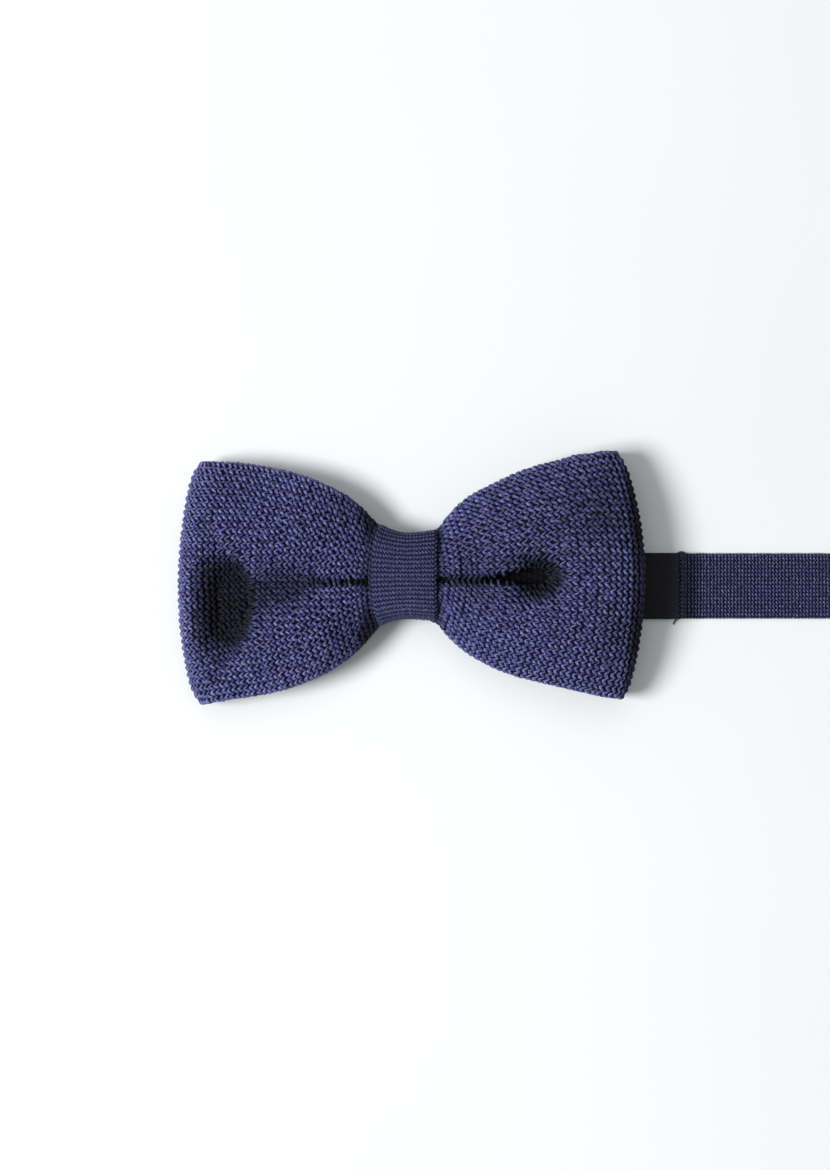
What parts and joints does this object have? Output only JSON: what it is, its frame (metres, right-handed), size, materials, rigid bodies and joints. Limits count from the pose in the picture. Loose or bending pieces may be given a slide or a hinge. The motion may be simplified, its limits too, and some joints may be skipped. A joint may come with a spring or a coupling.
{
  "type": "bow tie",
  "caption": "Knitted pre-tied bow tie: two looped wings gathered by a wrapped knot band, on an adjustable neck strap with an elastic, a slide, a hook and an eye.",
  "frame": {"origin": "centre of the flat back of the elastic behind the knot, on the neck strap's centre line", "axes": "+X along the neck strap away from the bow, +Y up the bow as it is worn, +Z out of the bow's face"},
  "size_m": [0.3698, 0.0669, 0.0195],
  "materials": {
    "coarse_knit": "coarse rib knit in matt yarn",
    "fine_knit": "fine warp knit in matt yarn",
    "elastic": "woven elastic, smooth",
    "thread": "spun sewing thread",
    "metal": "nickel plated, bright"
  },
  "bodies": {
    "knot": {"knot_band": "fine_knit", "gathered_middle": "coarse_knit", "gathering_thread": "thread", "elastic_short_end": "elastic", "fold_stitching": "thread"},
    "left_wing": {"left_wing": "coarse_knit"},
    "right_wing": {"right_wing": "coarse_knit"},
    "eye": {"eye": "metal"},
    "elastic": {"elastic": "elastic"},
    "strap_hem": {"strap_hem": "fine_knit", "hem_stitching": "thread"},
    "strap_1": {"strap_1": "fine_knit"},
    "strap_2": {"strap_2": "fine_knit"},
    "strap_3": {"strap_3": "fine_knit"},
    "strap_4": {"strap_4": "fine_knit"},
    "hook_end": {"strap_fold": "fine_knit"},
    "adjuster": {"adjuster_slide": "metal", "strap_tail": "fine_knit", "tail_stitching": "thread"},
    "hook": {"hook": "metal"}
  },
  "joints": [
    {"name": "left_wing_bend", "type": "hinge", "parent": "knot", "child": "left_wing", "pos_m": [-0.0136, 0, 0.0092], "axis": [0, 1, 0], "range_deg": [0, 35], "stiffness_Nm_per_rad": 0.01},
    {"name": "right_wing_bend", "type": "hinge", "parent": "knot", "child": "right_wing", "pos_m": [0.0133, 0, 0.007], "axis": [0, -1, 0], "range_deg": [0, 35], "stiffness_Nm_per_rad": 0.01},
    {"name": "eye_swing", "type": "hinge", "parent": "knot", "child": "eye", "pos_m": [-0.0365, 0, 0.0022], "axis": [0, 1, 0], "range_deg": [-80, 18]},
    {"name": "strap_bend_1", "type": "hinge", "parent": "knot", "child": "elastic", "pos_m": [0.00905, 0, 0.00055], "axis": [0, 1, 0], "range_deg": [0, 50]},
    {"name": "elastic_stretch", "type": "slide", "parent": "elastic", "child": "strap_hem", "axis": [1, 0, 0], "range_m": [0, 0.012], "stiffness_N_per_m": 300, "deforming": ["elastic"]},
    {"name": "strap_bend_2", "type": "hinge", "parent": "strap_hem", "child": "strap_1", "pos_m": [0.07725, 0, 0.0005], "axis": [0, 1, 0], "range_deg": [-50, 50]},
    {"name": "strap_bend_3", "type": "hinge", "parent": "strap_1", "child": "strap_2", "pos_m": [0.12525, 0, 0.0005], "axis": [0, 1, 0], "range_deg": [-50, 50]},
    {"name": "strap_bend_4", "type": "hinge", "parent": "strap_2", "child": "strap_3", "pos_m": [0.17325, 0, 0.0005], "axis": [0, 1, 0], "range_deg": [-50, 50]},
    {"name": "strap_bend_5", "type": "hinge", "parent": "strap_3", "child": "strap_4", "pos_m": [0.22125, 0, 0.0005], "axis": [0, 1, 0], "range_deg": [-50, 50]},
    {"name": "hook_travel", "type": "slide", "parent": "strap_4", "child": "hook_end", "axis": [1, 0, 0], "range_m": [0, 0.03]},
    {"name": "adjuster_travel", "type": "slide", "parent": "hook_end", "child": "adjuster", "axis": [1, 0, 0], "range_m": [0, 0.03], "deforming": ["strap_tail"]},
    {"name": "hook_swing", "type": "hinge", "parent": "hook_end", "child": "hook", "pos_m": [0.2978, 0, 0.0034], "axis": [0, 1, 0], "range_deg": [-90, 60]}
  ],
  "couplings": [
    {"joint": "adjuster_travel", "follows": "hook_travel", "ratio": 1}
  ]
}
